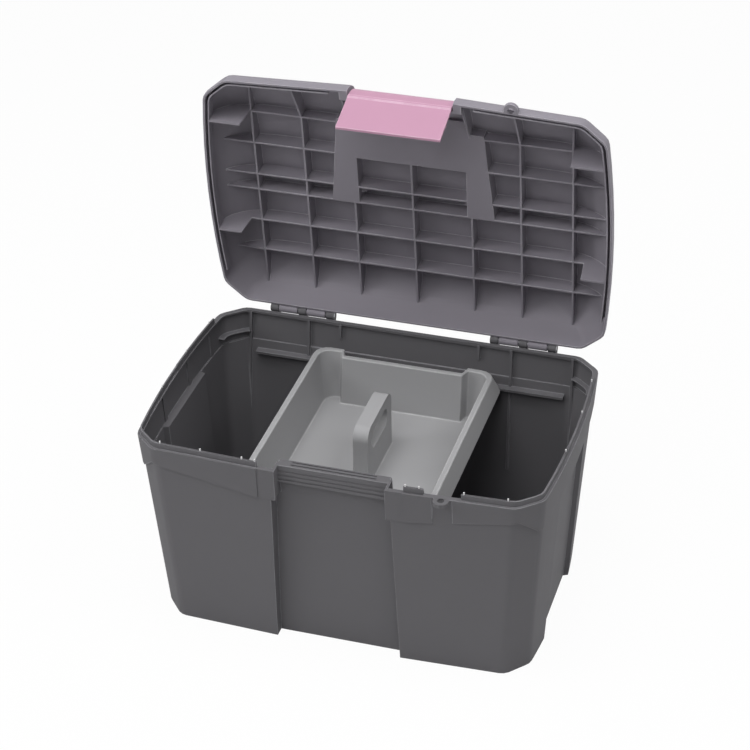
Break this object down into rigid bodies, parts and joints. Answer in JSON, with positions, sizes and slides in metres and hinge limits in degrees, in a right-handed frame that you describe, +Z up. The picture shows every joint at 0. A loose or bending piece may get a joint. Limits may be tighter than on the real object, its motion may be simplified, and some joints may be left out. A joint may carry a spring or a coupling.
{
  "type": "horse grooming box",
  "caption": "Tapered plastic grooming box with an open hinged ribbed lid, wrap-over front latch, folding carry handle and a lift-out tray seated on ledges.",
  "frame": {"origin": "middle of the tub's flat underside", "axes": "+Z up, +X to the right seen from the latch side, +Y to the hinges at the back"},
  "size_m": [0.4, 0.3152, 0.4826],
  "materials": {
    "tub_plastic": "fine moulded grain, dark grey",
    "lid_plastic": "satin moulding, dark grey",
    "tray_plastic": "satin moulding, mid grey",
    "latch_plastic": "satin moulding, pink",
    "handle_plastic": "satin moulding, dark grey",
    "pin_steel": "drawn steel wire"
  },
  "bodies": {
    "tub": {"base_tub": "tub_plastic", "hinge_pin_left": "pin_steel", "hinge_pin_right": "pin_steel"},
    "lid": {"lid_shell": "lid_plastic", "latch_pin": "pin_steel"},
    "latch": {"front_latch": "latch_plastic"},
    "handle": {"carry_handle": "handle_plastic"},
    "tray": {"lift_out_tray": "tray_plastic"}
  },
  "joints": [
    {"name": "lid_hinge", "type": "hinge", "parent": "tub", "child": "lid", "pos_m": [0, 0.1357, 0.2061], "axis": [1, 0, 0], "range_deg": [0, 82]},
    {"name": "latch_hinge", "type": "hinge", "parent": "lid", "child": "latch", "pos_m": [0, 0.13457, 0.43689], "axis": [-1, 0, 0], "range_deg": [-1.5, 100]},
    {"name": "handle_hinge", "type": "hinge", "parent": "lid", "child": "handle", "pos_m": [0, 0.15043, 0.3452], "axis": [-1, 0, 0], "range_deg": [0, 90]},
    {"name": "tray_lift", "type": "slide", "parent": "tub", "child": "tray", "axis": [0, 0, 1], "range_m": [0, 0.23]}
  ]
}
